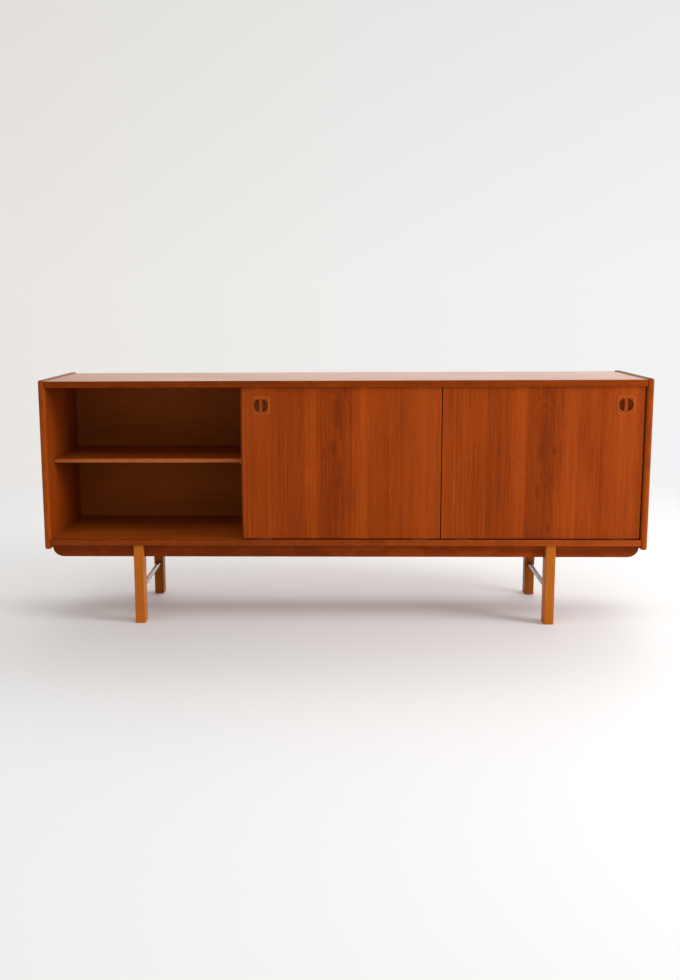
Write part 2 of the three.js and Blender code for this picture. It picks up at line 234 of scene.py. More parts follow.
def along(axis):
    """An edge test: the edge runs along the axis."""
    others = [a for a in (X, Y, Z) if a != axis]
    return lambda a, b: all(abs(a[other] - b[other]) < HAIR for other in others)


def across(axis):
    """An edge test: the edge doesn't run along the axis."""
    return lambda a, b: not along(axis)(a, b)


def at_base(base):
    """An edge test: the edge lies at or below a height."""
    return lambda a, b: max(a.z, b.z) < base + HAIR


def turned(profile, axis, centre, steps=32):
    """A turned solid: (radius, place along the axis) points that start and end on the axis."""
    bm = bmesh.new()
    others = [a for a in (X, Y, Z) if a != axis]
    verts = []
    for radius, place in profile:
        point = Vector(centre)
        point[others[0]] += radius
        point[axis] += place
        verts.append(bm.verts.new(point))
    edges = [bm.edges.new(pair) for pair in zip(verts, verts[1:])]
    turn = Vector((0, 0, 0))
    turn[axis] = 1
    bmesh.ops.spin(bm, geom=verts + edges, cent=centre, axis=turn, angle=2 * math.pi, steps=steps,
                   use_merge=True, use_duplicate=False)
    bmesh.ops.remove_doubles(bm, verts=bm.verts, dist=HAIR)
    bmesh.ops.recalc_face_normals(bm, faces=bm.faces)
    for face in bm.faces:
        face.smooth = True
    for edge in bm.edges:
        edge.smooth = edge.calc_face_angle(0) < math.radians(40)
    return bm


def joined(parts):
    """Several bmeshes as one."""
    whole = bmesh.new()
    for part in parts:
        scrap = bpy.data.meshes.new("scrap")
        part.to_mesh(scrap)
        part.free()
        whole.from_mesh(scrap)
        bpy.data.meshes.remove(scrap)
    return whole


def piece(name, bm, material, body, nodes=()):
    """The finished object: its mesh in place, its finish, its body and the nodes it stands for."""
    mesh = bpy.data.meshes.new(name)
    bm.to_mesh(mesh)
    bm.free()
    mesh.materials.append(material)
    made = bpy.data.objects.new(name, mesh)
    bpy.context.scene.collection.objects.link(made)
    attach(made, body)
    if nodes:
        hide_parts(*nodes)


# ------------------------------------------------------------------ node helpers

def add(tree, kind, inputs=None, **settings):
    """A node with its settings, its constants and the sockets linked to it."""
    made = tree.nodes.new(kind)
    for key, value in settings.items():
        setattr(made, key, value)
    for key, value in (inputs or {}).items():
        if isinstance(value, bpy.types.NodeSocket):
            tree.links.new(value, made.inputs[key])
        else:
            made.inputs[key].default_value = value
    return made


def new_material(name):
    """A material, with its node tree and its shader."""
    made = bpy.data.materials.new(name)
    made.use_nodes = True
    return made, made.node_tree, made.node_tree.nodes["Principled BSDF"]


def object_place(tree):
    return add(tree, "ShaderNodeTexCoord").outputs["Object"]


def axes_of(tree, vector):
    return add(tree, "ShaderNodeSeparateXYZ", {0: vector}).outputs


def combined(tree, *axes):
    return add(tree, "ShaderNodeCombineXYZ", dict(enumerate(axes))).outputs[0]


def vector_maths(tree, operation, first, second=(0, 0, 0), output="Vector"):
    return add(tree, "ShaderNodeVectorMath", {0: first, 1: second},
               operation=operation).outputs[output]


def maths(tree, operation, first, second=0.0, clamp=False):
    return add(tree, "ShaderNodeMath", {0: first, 1: second}, operation=operation,
               use_clamp=clamp).outputs[0]


def spread(tree, value, from_low, from_high, to_low=0.0, to_high=1.0):
    """A value carried from one range to another."""
    return add(tree, "ShaderNodeMapRange", {
        "Value": value, "From Min": from_low, "From Max": from_high,
        "To Min": to_low, "To Max": to_high,
    }).outputs["Result"]


def jittered(tree, value, source, reach):
    """A value moved up and down by a noise."""
    return maths(tree, "ADD", value, spread(tree, source, 0.3, 0.7, -reach, reach))


def tinted(tree, share, under, over):
    """One colour laid over another."""
    return add(tree, "ShaderNodeMix", {"Factor": share, 6: under, 7: (*over, 1)},
               data_type="RGBA").outputs[2]


def embossed(tree, shader, strength, depth, height):
    """Fine relief, as bump on the shader."""
    lifted = add(tree, "ShaderNodeBump", {
        "Strength": strength, "Distance": depth, "Height": height,
    }).outputs["Normal"]
    tree.links.new(lifted, shader.inputs["Normal"])


def stretched(tree, vector, scale, seed):
    """The vector with each axis scaled, moved on by a seed."""
    return add(tree, "ShaderNodeMapping", {
        "Vector": vector, "Scale": scale, "Location": (seed, seed * 1.7, seed * 0.6),
    }).outputs["Vector"]


def noise(tree, vector, detail=2.0, roughness=0.5):
    return add(tree, "ShaderNodeTexNoise", {
        "Vector": vector, "Scale": 1.0, "Detail": detail, "Roughness": roughness,
    }).outputs["Fac"]


def line_noise(tree, place, detail=2.0, roughness=0.5):
    """Noise along one number only."""
    return add(tree, "ShaderNodeTexNoise", {
        "W": place, "Scale": 1.0, "Detail": detail, "Roughness": roughness,
    }, noise_dimensions="1D").outputs["Fac"]


def ramp(tree, value, stops):
    """A colour ramp from (place, colour) stops."""
    made = add(tree, "ShaderNodeValToRGB", {"Fac": value})
    elements = made.color_ramp.elements
    while len(elements) < len(stops):
        elements.new(0.5)
    for element, (place, tone) in zip(elements, stops):
        element.position = place
        element.color = (*tone, 1)
    return made.outputs["Color"]


def wood_figure():
    """The node group that draws sawn wood: X lies across the grain, Y through the board, Z along it.

    Growth rings are nested tubes round a heart line behind the surface. Where the line runs at a
    slant the rings open into arches, and to each side they straighten into stripes.
    """
    name = "wood_figure"
    if name in bpy.data.node_groups:
        return bpy.data.node_groups[name]
    tree = bpy.data.node_groups.new(name, "ShaderNodeTree")
    face = tree.interface
    face.new_socket("Place", in_out="INPUT", socket_type="NodeSocketVector")
    for socket, value in (("Heart", 0.0), ("Depth", 0.05), ("Slant", 0.08), ("Rings", 150.0),
                          ("Seed", 0.0)):
        made = face.new_socket(socket, in_out="INPUT", socket_type="NodeSocketFloat")
        made.default_value = value
    for socket in ("Arches", "Streaks", "Fibre", "Pores", "Cloud"):
        face.new_socket(socket, in_out="OUTPUT", socket_type="NodeSocketFloat")
    ins = add(tree, "NodeGroupInput").outputs
    seeded = vector_maths(tree, "ADD", ins["Place"], combined(tree, 0.0, ins["Seed"], ins["Seed"]))
    across, _, run = axes_of(tree, ins["Place"])

    wander = noise(tree, stretched(tree, seeded, (4, 4, 2.2), 3.1), 2.0)
    waver = noise(tree, stretched(tree, seeded, (30, 30, 7), 8.3), 3.0, 0.6)
    sway = noise(tree, stretched(tree, seeded, (2, 2, 5), 9.4), 2.0)
    shifted = maths(tree, "SUBTRACT", across, ins["Heart"])
    shifted = maths(tree, "ADD", shifted, spread(tree, wander, 0.2, 0.8, -0.012, 0.012))
    shifted = maths(tree, "ADD", shifted, spread(tree, waver, 0.2, 0.8, -0.004, 0.004))
    slope = maths(tree, "MULTIPLY", run, ins["Slant"])
    depth = maths(tree, "ADD", maths(tree, "ADD", ins["Depth"], slope),
                  spread(tree, sway, 0.2, 0.8, 0.022, -0.022))
    radius = vector_maths(tree, "LENGTH", combined(tree, shifted, depth), output="Value")
    ring_place = maths(tree, "ADD", maths(tree, "MULTIPLY", radius, ins["Rings"]), ins["Seed"])
    arches = line_noise(tree, ring_place, 3.0, 0.65)

    streaks = noise(tree, stretched(tree, seeded, (210, 210, 1.3), 2.6), 3.0, 0.65)
    fibre = noise(tree, stretched(tree, seeded, (620, 620, 9), 1.9), 3.0, 0.62)
    pore_noise = noise(tree, stretched(tree, seeded, (1500, 1500, 60), 5.7), 1.0)
    patches = noise(tree, stretched(tree, seeded, (90, 90, 9), 4.4), 1.0)
    pores = spread(tree, maths(tree, "ADD", pore_noise, maths(tree, "MULTIPLY", patches, 0.35)),
                   0.78, 0.90)
    cloud = noise(tree, stretched(tree, seeded, (9, 9, 3.0), 6.6), 2.0)
    outs = add(tree, "NodeGroupOutput").inputs
    for socket, value in (("Arches", arches), ("Streaks", streaks), ("Fibre", fibre),
                          ("Pores", pores), ("Cloud", cloud)):
        tree.links.new(value, outs[socket])
    return tree


# How each grain direction is turned so that the figure's Z runs along the grain.
GRAIN_TURNS = {
    "upright_front": (0, 0, 0),                                # across X, along Z
    "upright_side": (0, 0, math.radians(90)),                  # across Y, along Z
    "long_front": (0, math.radians(90), 0),                    # across Z, along X
    "long_top": (math.radians(90), math.radians(90), 0),       # across Y, along X
    "deep": (math.radians(90), 0, 0),                          # across X, along Y
}


def knot_shade(tree, across, run, knots):
    """Darkness from small knots and streaks: (across, along, half width, half length, depth)."""
    shade = None
    for at_across, at_run, half_width, half_length, depth in knots:
        off_across = maths(tree, "DIVIDE", maths(tree, "SUBTRACT", across, at_across), half_width)
        off_run = maths(tree, "DIVIDE", maths(tree, "SUBTRACT", run, at_run), half_length)
        far = vector_maths(tree, "LENGTH", combined(tree, off_across, off_run), output="Value")
        dark = spread(tree, far, 1.0, 0.2, 0.0, depth)
        shade = dark if shade is None else maths(tree, "MAXIMUM", shade, dark)
    return shade


def wood(name, dark, mid, light, grain, centre=(0, 0, 0), heart=0.0, depth=0.06, slant=0.08,
         rings=150.0, seed=0.0, roughness=0.45, specular=0.3, stripes=None, knots=None,
         stripe_run=False, arches=0.22, arch_reach=0.0, streaks=0.20, fibres=0.10, clouds=0.16,
         pore_shade=0.55, bump=0.25, sheen_tint=(1.0, 0.5, 0.2)):
    """A lacquered wood. stripes are (place across the piece in metres, tone) stops for a face whose
    broad tone is banded, or stops along it when the run flag is set, which paint shade that darkens
    the piece towards one end, and arch_reach keeps the arches near the heart."""
    made, tree, shader = new_material(name)
    moved = vector_maths(tree, "SUBTRACT", object_place(tree), centre)
    turned_place = add(tree, "ShaderNodeMapping", {
        "Vector": moved, "Rotation": GRAIN_TURNS[grain],
    }).outputs["Vector"]
    figure = add(tree, "ShaderNodeGroup", node_tree=wood_figure())
    tree.links.new(turned_place, figure.inputs["Place"])
    for socket, value in (("Heart", heart), ("Depth", depth), ("Slant", slant), ("Rings", rings),
                          ("Seed", seed)):
        figure.inputs[socket].default_value = value
    across, _, run = axes_of(tree, turned_place)

    def swing(socket, low, high, strength):
        centred = spread(tree, figure.outputs[socket], low, high, -1, 1)
        return maths(tree, "MULTIPLY", centred, strength)

    arch_tone = swing("Arches", 0.28, 0.72, arches)
    if arch_reach:
        from_heart = maths(tree, "ABSOLUTE", maths(tree, "SUBTRACT", across, heart))
        near = spread(tree, from_heart, arch_reach * 0.75, arch_reach * 1.5, 1.0, 0.25)
        arch_tone = maths(tree, "MULTIPLY", arch_tone, near)
    tone = maths(tree, "ADD", arch_tone, swing("Streaks", 0.3, 0.7, streaks))
    tone = maths(tree, "ADD", tone, swing("Fibre", 0.3, 0.7, fibres))
    tone = maths(tree, "ADD", tone, swing("Cloud", 0.3, 0.7, clouds))
    if stripes:
        first, last = stripes[0][0], stripes[-1][0]
        share = spread(tree, run if stripe_run else across, first, last)
        stops = [((at - first) / (last - first), (tone_at,) * 3) for at, tone_at in stripes]
        tone = maths(tree, "ADD", tone, spread(tree, ramp(tree, share, stops), 0, 1, -0.5, 0.5))
    tone = maths(tree, "ADD", tone, 0.5)
    if knots:
        tone = maths(tree, "SUBTRACT", tone, knot_shade(tree, across, run, knots))
    tone = maths(tree, "ADD", tone, 0.0, clamp=True)

    stain = ramp(tree, tone, [(0.0, scaled(dark, 0.8)), (0.2, dark), (0.5, mid), (0.85, light),
                              (1.0, scaled(light, 1.12))])
    pores = figure.outputs["Pores"]
    pore_share = maths(tree, "MULTIPLY", pores, 1 - pore_shade)
    tree.links.new(tinted(tree, pore_share, stain, scaled(dark, 0.4)), shader.inputs["Base Color"])
    gloss = spread(tree, tone, 0, 1, roughness + 0.06, roughness - 0.05)
    gloss = maths(tree, "ADD", gloss, maths(tree, "MULTIPLY", pores, 0.15))
    tree.links.new(gloss, shader.inputs["Roughness"])
    height = maths(tree, "SUBTRACT", maths(tree, "MULTIPLY", figure.outputs["Fibre"], 0.5), pores)
    embossed(tree, shader, bump, 0.15 * MM, height)
    shader.inputs["Specular IOR Level"].default_value = specular
    shader.inputs["Specular Tint"].default_value = (*sheen_tint, 1)
    return made


def scaled(tone, share):
    return tuple(channel * share for channel in tone)


def teak(name, grain, solid=False, shade=1.0, **settings):
    """Teak in the three tones of its veneer, or as solid wood, which is a little paler and whose
    rings run nearly straight."""
    tones = colours()
    if solid:
        settings = {"depth": 0.12, "slant": 0.02, **settings}
        return plain_wood(name, scaled(tones.solid_mid, shade), grain, 0.78, 1.24, **settings)
    return wood(name, scaled(tones.teak_dark, shade), scaled(tones.teak_mid, shade),
                scaled(tones.teak_light, shade), grain, **settings)


def plain_wood(name, mid, grain, low=0.74, high=1.24, **settings):
    """A wood whose dark and light tones follow its body colour."""
    return wood(name, scaled(mid, low), tuple(mid), scaled(mid, high), grain, **settings)


def inside_teak(name, grain, **settings):
    return plain_wood(name, colours().inside_mid, grain, **settings)


def plywood(name, grain, **settings):
    return plain_wood(name, colours().ply_mid, grain, 0.82, 1.16, **settings)


def beech(name, grain, shade=1.0, **settings):
    return plain_wood(name, scaled(colours().beech_mid, shade), grain, 0.80, 1.16, arches=0.14,
                      streaks=0.16, pore_shade=0.8, **settings)


def satin_steel(name, axis):
    """Drawn steel: fine lines run round the bar, and the gloss varies a little along it."""
    made, tree, shader = new_material(name)
    scale = [60, 60, 60]
    scale[axis] = 3200
    place = object_place(tree)
    drawn = noise(tree, stretched(tree, place, scale, 2.2), 2.0)
    cloudy = noise(tree, stretched(tree, place, (25, 25, 25), 7.1), 2.0)
    steel = tuple(colours().steel)
    tint = ramp(tree, cloudy, [(0.3, scaled(steel, 0.86)), (0.7, scaled(steel, 1.08))])
    tree.links.new(tint, shader.inputs["Base Color"])
    tree.links.new(spread(tree, maths(tree, "ADD", drawn, cloudy), 0.7, 1.3, 0.16, 0.30),
                   shader.inputs["Roughness"])
    embossed(tree, shader, 0.12, 0.05 * MM, drawn)
    shader.inputs["Metallic"].default_value = 1.0
    return made


def moulded_nylon(name):
    made, tree, shader = new_material(name)
    grime = noise(tree, stretched(tree, object_place(tree), (140, 140, 140), 3.3), 3.0)
    # Painted shade: near black, so that the glides read as the shadow line under the doors.
    nylon = tuple(colours().nylon)
    tree.links.new(ramp(tree, grime, [(0.35, scaled(nylon, 0.75)), (0.6, nylon)]),
                   shader.inputs["Base Color"])
    tree.links.new(spread(tree, grime, 0.3, 0.7, 0.55, 0.38), shader.inputs["Roughness"])
    return made


# ------------------------------------------------------------------ case

def spans(node):
    """A node's (low, high) along X, Y and Z."""
    low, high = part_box(node)
    return [(low[axis], high[axis]) for axis in (X, Y, Z)]


def groove_depths():
    """The door groove's front and back, from the doors that run in it."""
    door_front, door_back = spans("left_door_panel")[Y]
    return door_front - GROOVE_PLAY, door_back + GROOVE_PLAY


def solid_edge(name, low, high, axis, timber):
    """A solid strip glued along a board's front edge."""
    strip = slab(low, high)
    soften(strip, sizes().board_edge, 3, along(axis))
    piece(name, strip, timber, "carcass")


def edged_board(node, name, edge_name, axis, arris, veneer, timber):
    """A board of the inside, with a solid strip along its front edge."""
    low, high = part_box(node)
    joint = low.y + sizes().strip_depth
    board = slab((low.x, joint, low.z), high)
    soften(board, arris, 1, along(axis))
    piece(name, board, veneer, "carcass", [node])
    solid_edge(edge_name, low, (high.x, joint, high.z), axis, timber)


def end_grain(material, low, high):
    """Darkens the two ends of an upright board, where end grain soaks up more of the finish."""
    tree = material.node_tree
    shader = tree.nodes["Principled BSDF"]
    clean = shader.inputs["Base Color"].links[0].from_socket
    place = object_place(tree)
    soak = noise(tree, stretched(tree, place, (400, 60, 400), 5.0), 2.0)
    up = jittered(tree, axes_of(tree, place)[Z], soak, 0.4 * MM)
    faint, full, share = 1.8 * MM, 0.8 * MM, 0.75
    at_top = spread(tree, up, high - faint, high - full, 0.0, share)
    at_foot = spread(tree, up, low + faint, low + full, 0.0, share)
    soaked = tinted(tree, maths(tree, "MAXIMUM", at_top, at_foot), clean, (0.05, 0.014, 0.006))
    tree.links.new(soaked, shader.inputs["Base Color"])


class SIDEBOARD_OT_side_panels(Operator):
    """Build the two rounded side panels, rebated for the back panel"""
    bl_idname = "sideboard.side_panels"
    bl_label = "Side panels"

    def execute(self, context):
        size = sizes()
        (_, reach), (back_front, _), (back_low, back_high) = spans("back_panel")
        rebate_front = back_front - JOINT_GAP
        rebate_low, rebate_high = back_low - JOINT_GAP, back_high + JOINT_GAP
        for side, sign in zip(SIDES, (-1, 1)):
            node = f"{side}_side_panel"
            (x_low, x_high), (front, back), (low, high) = spans(node)
            inner, outer = (x_high, x_low) if sign < 0 else (x_low, x_high)

            def raised(y, z):
                return not (y > rebate_front and rebate_low < z < rebate_high)

            bm = stepped_board(
                X, [front, rebate_front, back], [low, rebate_low, rebate_high, high],
                sign * (reach + JOINT_GAP), outer, inner, raised,
            )

            def upright_corner(a, b, front=front, back=back, outer=outer):
                at_front = abs(a.y - front) < HAIR
                outer_back = abs(a.y - back) < HAIR and abs(a.x - outer) < HAIR
                return along(Z)(a, b) and (at_front or outer_back)

            def end(a, b, low=low, high=high):
                return any(max(abs(a.z - place), abs(b.z - place)) < HAIR for place in (low, high))

            soften(bm, size.side_corner, 6, upright_corner)
            soften(bm, size.side_end, 5, end)
            centre = ((x_low + x_high) / 2, (front + back) / 2, (low + high) / 2)
            veneer = plain_wood(f"teak_side_{side}", colours().side_mid, "upright_side",
                                centre=centre, heart=0.03 * sign, depth=0.05,
                                seed=11.0 + 7 * sign, specular=0.2)
            end_grain(veneer, low, high)
            piece(f"{side}_side", bm, veneer, "carcass", [node])
        return {"FINISHED"}


# Painted shade along the solid front edges and the rails: they darken towards their left end,
# away from the light on the right, and the rails a little at their right end too: (place along in
# metres, tone).
EDGE_PAINTED_SHADE = [(-0.9, 0.94), (-0.35, 0.54), (0.25, 0.36), (0.9, 0.08)]
RAIL_PAINTED_SHADE = [(-0.9, 0.30), (0.0, 0.42), (0.9, 0.08)]


class SIDEBOARD_OT_top_board(Operator):
    """Build the top board and the solid front edge that hides the door groove"""
    bl_idname = "sideboard.top_board"
    bl_label = "Top board"

    def execute(self, context):
        (x_low, x_high), (front, back), (low, high) = spans("top_board")
        _, (back_front, _), (_, back_high) = spans("back_panel")
        rebate_front, rebate_top = back_front - JOINT_GAP, back_high + JOINT_GAP
        groove_front, groove_back = groove_depths()
        groove_top = spans("left_door_panel")[Z][1] + GROOVE_DEPTH
        outline = [
            (groove_front, groove_top), (groove_back, groove_top), (groove_back, low),
            (rebate_front, low), (rebate_front, rebate_top), (back, rebate_top), (back, high),
            (groove_front, high),
        ]
        start, stop = x_low - JOINT_GAP, x_high + JOINT_GAP
        bm = prism(outline, X, start, stop)
        soften(bm, sizes().arris, 2, along(X))
        # Painted light: the top's paler, less saturated body colour.
        veneer = plain_wood("teak_top", colours().top_mid, "long_top", centre=(0, 0, high),
                            heart=-0.02, depth=0.05, slant=0.05, seed=31.0, roughness=0.3,
                            specular=0.5, rings=130, sheen_tint=(1.0, 0.75, 0.55))
        piece("top_panel", bm, veneer, "carcass", ["top_board"])
        # Painted shade darkens this edge towards its left end.
        timber = teak("teak_top_edge", "long_front", solid=True, shade=0.70, specular=0.12,
                      centre=(0, front, high), seed=5.0, stripes=EDGE_PAINTED_SHADE, stripe_run=True)
        solid_edge("top_front_edge", (start, front, low), (stop, groove_front, high), X, timber)
        return {"FINISHED"}


class SIDEBOARD_OT_bottom_board(Operator):
    """Build the bottom board and the solid front lip of its door groove"""
    bl_idname = "sideboard.bottom_board"
    bl_label = "Bottom board"

    def execute(self, context):
        (x_low, x_high), (front, back), (low, high) = spans("bottom_board")
        groove_front, groove_back = groove_depths()
        groove_floor = high - GROOVE_DEPTH
        outline = [
            (groove_front, low), (back, low), (back, high), (groove_back, high),
            (groove_back, groove_floor), (groove_front, groove_floor),
        ]
        start, stop = x_low - JOINT_GAP, x_high + JOINT_GAP
        bm = prism(outline, X, start, stop)
        soften(bm, sizes().arris, 2, along(X))
        veneer = inside_teak("teak_floor", "long_top", centre=(0, 0, high), heart=0.02, slant=0.05,
                             seed=17.0, specular=0.25)
        piece("bottom_panel", bm, veneer, "carcass", ["bottom_board"])
        # Painted shade darkens this edge towards its left end.
        timber = teak("teak_bottom_edge", "long_front", solid=True, shade=0.80,
                      centre=(0, front, high), seed=9.0, stripes=EDGE_PAINTED_SHADE, stripe_run=True)
        solid_edge("bottom_front_edge", (start, front, low), (stop, groove_front, high), X, timber)
        return {"FINISHED"}


class SIDEBOARD_OT_back_panel(Operator):
    """Build the plywood back panel and the tacks that hold it"""
    bl_idname = "sideboard.back_panel"
    bl_label = "Back panel"

    def execute(self, context):
        low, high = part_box("back_panel")
        bm = slab(low, high)
        soften(bm, sizes().arris, 2)
        sheet = plywood("ply_back", "long_front", centre=(0, high.y, 0.45), depth=0.08, slant=0.04,
                        rings=70.0, seed=23.0, roughness=0.6, specular=0.2, arches=0.07,
                        streaks=0.10, clouds=0.26)
        piece("back_sheet", bm, sheet, "carcass", ["back_panel"])

        inset, radius, proud, steps = 9 * MM, 2.2 * MM, 0.7 * MM, 12
        dome = [(0, 0), (radius, 0), (radius * 0.86, proud * 0.55), (radius * 0.5, proud * 0.92),
                (0, proud)]
        row_low = sum(spans("bottom_board")[Z]) / 2
        row_length = high.x - low.x - 2 * inset
        columns = round(row_length / BACK_TACK_PITCH)
        places = [(low.x + inset + row_length * index / columns, row_low)
                  for index in range(columns + 1)]
        for side in SIDES:
            divider_middle = sum(spans(f"{side}_divider")[X]) / 2
            places += [(divider_middle, row_low + (high.z - row_low) * quarter / 4)
                       for quarter in (1, 2, 3)]
        heads = [turned(dome, Y, (x, high.y, z), steps) for x, z in places]
        piece("back_tacks", joined(heads), satin_steel("tack_steel", Z), "carcass")
        return {"FINISHED"}


class SIDEBOARD_OT_dividers(Operator):
    """Build the two upright dividers, each with a solid front edge"""
    bl_idname = "sideboard.dividers"
    bl_label = "Dividers"

    def execute(self, context):
        for side, seed in zip(SIDES, (41.0, 47.0)):
            node = f"{side}_divider"
            centre = sum(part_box(node), Vector()) / 2
            veneer = inside_teak(f"teak_divider_{side}", "upright_side", centre=centre, heart=0.04,
                                 seed=seed, roughness=0.5, specular=0.25)
            timber = teak(f"teak_divider_edge_{side}", "upright_front", solid=True, centre=centre,
                          seed=seed)
            edged_board(node, f"{side}_partition", f"{side}_partition_edge", Z, 0.3 * MM, veneer,
                        timber)
        return {"FINISHED"}


class SIDEBOARD_OT_shelves(Operator):
    """Build the three shelves, each with a pale solid front edge"""
    bl_idname = "sideboard.shelves"
    bl_label = "Shelves"

    def execute(self, context):
        for bay, seed in zip(BAYS, (51.0, 53.0, 59.0)):
            node = f"{bay}_shelf"
            centre = sum(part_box(node), Vector()) / 2
            veneer = inside_teak(f"teak_shelf_{bay}", "long_top", centre=centre, heart=0.03,
                                 seed=seed, slant=0.05, specular=0.25)
            timber = plain_wood(f"teak_shelf_edge_{bay}", colours().shelf_edge, "long_front",
                                centre=centre, seed=seed + 2, depth=0.12, slant=0.02)
            edged_board(node, f"{bay}_shelf_board", f"{bay}_shelf_edge", X, 0.4 * MM, veneer,
                        timber)
        return {"FINISHED"}


class SIDEBOARD_OT_shelf_pins(Operator):
    """Build the turned pins that carry the shelves"""
    bl_idname = "sideboard.shelf_pins"
    bl_label = "Shelf pins"

    def execute(self, context):
        finish = satin_steel("pin_steel", X)
        for bay in BAYS:
            for row in ENDS:
                for end, sign in zip(SIDES, (1, -1)):
                    node = f"{bay}_shelf_{row}_{end}_pin"
                    low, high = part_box(node)
                    centre = (low + high) / 2
                    collar = (high.z - low.z) / 2
                    peg = collar * 0.62
                    root, tip = (low.x, high.x) if sign > 0 else (high.x, low.x)
                    face = root + sign * 6.7 * MM
                    centre.x = face
                    reach = (tip - face) * sign
                    back = (face - root) * sign
                    profile = [
                        (0, -back), (peg * 0.9, -back), (peg * 0.9, 0), (collar * 0.92, 0),
                        (collar, 0.3 * MM), (collar, 0.9 * MM), (collar * 0.9, 1.2 * MM),
                        (peg, 1.2 * MM), (peg, reach - 0.8 * MM), (peg * 0.72, reach), (0, reach),
                    ]
                    profile = [(radius, place * sign) for radius, place in profile]
                    bm = turned(profile, X, centre, 24)
                    piece(f"{bay}_{row}_{end}_shelf_pin", bm, finish, "carcass", [node])
        return {"FINISHED"}


# ------------------------------------------------------------------ doors

# Bands of tone across a door's veneer, measured from its middle: (place in metres, tone).
DOOR_STRIPES = [
    (-0.285, 0.46), (-0.230, 0.54), (-0.195, 0.40), (-0.130, 0.33), (-0.108, 0.40),
    (-0.084, 0.64), (-0.066, 0.62), (-0.050, 0.32), (0.000, 0.30), (0.038, 0.38),
    (0.056, 0.60), (0.082, 0.64), (0.102, 0.42), (0.165, 0.38), (0.200, 0.50),
    (0.242, 0.63), (0.285, 0.56),
]
# Small knots and dark streaks near each heart: (across, up, half width, half length, depth),
# in metres from the door's middle.
DOOR_KNOTS = {
    "left_door": [
        (0.009, 0.106, 0.0034, 0.040, 0.75), (-0.014, 0.044, 0.014, 0.030, 0.42),
        (0.003, -0.048, 0.0060, 0.0085, 0.75), (-0.004, 0.150, 0.016, 0.060, 0.24),
        (0.000, 0.185, 0.003, 0.030, 0.45),
    ],
    "right_door": [
        (-0.012, 0.028, 0.012, 0.034, 0.38), (0.026, 0.036, 0.008, 0.016, 0.46),
        (0.020, -0.048, 0.0050, 0.018, 0.60), (-0.022, -0.085, 0.008, 0.028, 0.44),
        (0.012, -0.195, 0.007, 0.018, 0.50),
    ],
}


class SIDEBOARD_OT_doors(Operator):
    """Build the two sliding doors: veneered panels, mortised for the pulls, with solid edges"""
    bl_idname = "sideboard.doors"
    bl_label = "Doors"

    def execute(self, context):
        for door, seed, shift in zip(DOORS, (2.0, 2.6), (-0.010, 0.010)):
            node = f"{door}_panel"
            _, (front, back), (low, high) = spans(node)
            (_, x_low), (x_high, _) = (spans(f"{door}_{end}_lipping")[X] for end in SIDES)
            (left, right), (_, pull_back), (foot, head) = spans(f"{door}_pull")
            left, right = left - SNUG_GAP, right + SNUG_GAP
            foot, head = foot - SNUG_GAP, head + SNUG_GAP

            def raised(x, z):
                return not (left < x < right and foot < z < head)

            bm = stepped_board(Y, [x_low, left, right, x_high], [low, foot, head, high],
                               pull_back + SNUG_GAP, back, front, raised)
            soften(bm, 0.8 * MM, 2, at_base(low))
            soften(bm, 0.12 * MM, 1, along(Z))
            middle = ((x_low + x_high) / 2 + shift, front, (low + high) / 2)
            veneer = teak(f"teak_{door}", "upright_front", centre=middle, heart=-0.004, depth=0.028,
                          slant=0.09, rings=120, seed=seed, stripes=DOOR_STRIPES,
                          knots=DOOR_KNOTS[door], arches=0.14, arch_reach=0.05, fibres=0.16,
                          clouds=0.12, roughness=0.48)
            piece(f"{door}_face", bm, veneer, door, [node])

            for end in SIDES:
                strip_node = f"{door}_{end}_lipping"
                strip_low, strip_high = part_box(strip_node)
                edge = slab(strip_low, strip_high)
                outer = strip_low.x if end == "left" else strip_high.x

                def lower_corner(a, b, outer=outer, base=low):
                    return along(Y)(a, b) and abs(a.x - outer) < HAIR and a.z < base + HAIR

                soften(edge, 2.5 * MM, 4, lower_corner)
                soften(edge, 0.8 * MM, 3, across(Y))
                timber = teak(f"teak_{door}_{end}_edge", "upright_front", solid=True,
                              centre=middle, seed=seed + 3)
                piece(f"{door}_{end}_edge", edge, timber, door, [strip_node])
        return {"FINISHED"}


POCKET_HALF_HEIGHT = 18.5 * MM
POCKET_REACH = 17.8 * MM     # across a half-moon at its widest
POCKET_WALL = 1.6 * MM       # the run over which a wall falls to the pocket's floor
BAR_HALF = 5.0 * MM          # half the bar between the pockets, at its ends
BAR_WAIST = 1.4 * MM         # how much the bar narrows on each side at its middle


def pocket(u, w, depth):
    """How deep a pull is carved at u across and w up from its middle: two half-moon scoops with
    steep walls, either side of an upright bar with a slight waist."""
    above = POCKET_HALF_HEIGHT - abs(w)
    if above <= 0:
        return 0.0
    bow = 1 - (w / POCKET_HALF_HEIGHT) ** 2
    reach = POCKET_REACH * bow ** 0.55
    inward = abs(u) - BAR_HALF + BAR_WAIST * bow
    if inward <= 0 or inward >= reach:
        return 0.0
    wall = min(1.0, min(inward, (reach - inward) * 0.8, above * 1.2) / POCKET_WALL)
    wall = wall * wall * (3 - 2 * wall)
    bowl = 1 - 0.35 * (2 * inward / reach - 1) ** 2
    return depth * wall * bowl


